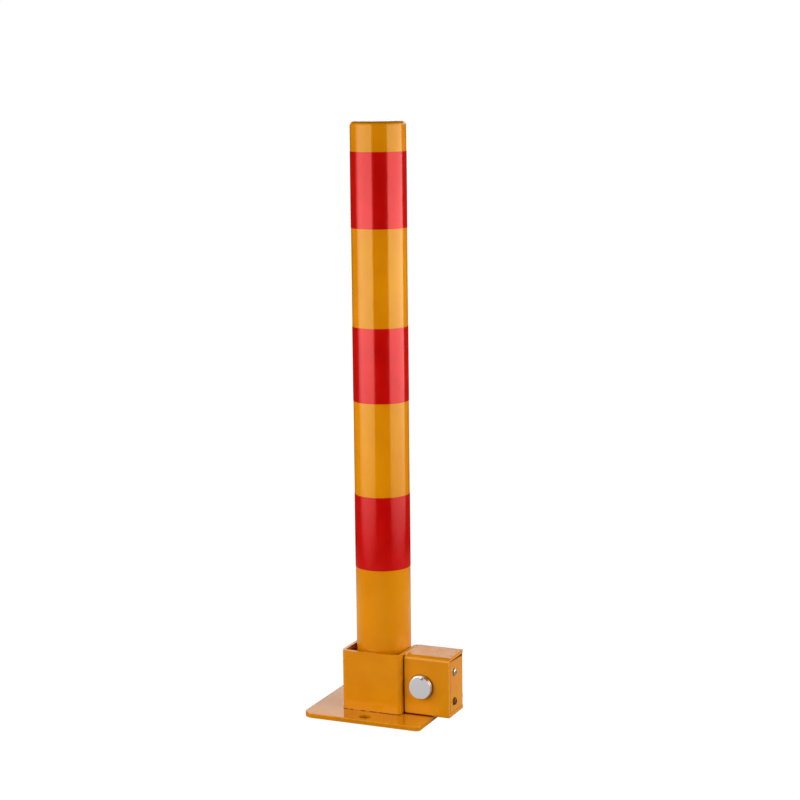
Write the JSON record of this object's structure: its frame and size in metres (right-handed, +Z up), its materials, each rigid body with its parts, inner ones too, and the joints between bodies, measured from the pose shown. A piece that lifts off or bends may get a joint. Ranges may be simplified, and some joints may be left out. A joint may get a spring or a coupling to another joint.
{
  "type": "folding parking lock",
  "caption": "Round post in a square socket on an anchor plate that folds flat backwards, held upright by a key-driven bolt in a side lock box; reflective bands on the post.",
  "frame": {"origin": "on the ground under the middle of the upright post, on the base plate's underside", "axes": "+Z up along the post, -Y to the front, +X towards the lock box"},
  "size_m": [0.1604, 0.1318, 0.6458],
  "materials": {
    "yellow_paint": "gloss powder coat",
    "red_tape": "glossy reflective film",
    "chrome": "polished plating",
    "zinc_steel": "bright zinc plating",
    "bare_steel": "plain machined steel",
    "brass": "machined",
    "nylon": "natural nylon",
    "rubber": "matte"
  },
  "bodies": {
    "base": {"base_plate": "yellow_paint", "socket": "yellow_paint", "socket_weld_front": "yellow_paint", "socket_weld_left": "yellow_paint", "socket_weld_right": "yellow_paint", "lock_box": "yellow_paint", "box_weld": "yellow_paint", "box_cover": "yellow_paint", "lock_housing": "chrome", "cover_rivet": "chrome", "hinge_pin": "zinc_steel", "cover_screw_upper": "zinc_steel", "cover_screw_lower": "zinc_steel", "cover_lug_upper": "bare_steel", "cover_lug_lower": "bare_steel", "lock_nut": "bare_steel", "bolt_guide_bush": "bare_steel", "tail_guide": "bare_steel", "hinge_washer_left": "nylon", "hinge_washer_right": "nylon", "lock_gasket": "rubber"},
    "post": {"post_tube": "yellow_paint", "top_cap": "yellow_paint", "hinge_bush": "bare_steel", "tape_lower": "red_tape", "tape_middle": "red_tape", "tape_upper": "red_tape"},
    "plug": {"lock_plug": "brass", "lock_cam": "bare_steel", "cam_screw": "zinc_steel"},
    "bolt": {"lock_bolt": "bare_steel"},
    "dust_cover": {"dust_cover": "chrome"}
  },
  "joints": [
    {"name": "post_fold", "type": "hinge", "parent": "base", "child": "post", "pos_m": [0, 0.018, 0.0185], "axis": [-1, 0, 0], "range_deg": [0, 90]},
    {"name": "key_turn", "type": "hinge", "parent": "base", "child": "plug", "pos_m": [0.0556, -0.0125, 0.0374], "axis": [0, -1, 0], "range_deg": [0, 90]},
    {"name": "bolt_slide", "type": "slide", "parent": "base", "child": "bolt", "axis": [-1, 0, 0], "range_m": [0, 0.01]},
    {"name": "dust_cover_swing", "type": "hinge", "parent": "base", "child": "dust_cover", "pos_m": [0.058, -0.0315, 0.0483], "axis": [0, -1, 0], "range_deg": [-30, 120]}
  ],
  "couplings": [
    {"joint": "key_turn", "follows": "bolt_slide", "rad_per_m": 157.08}
  ]
}
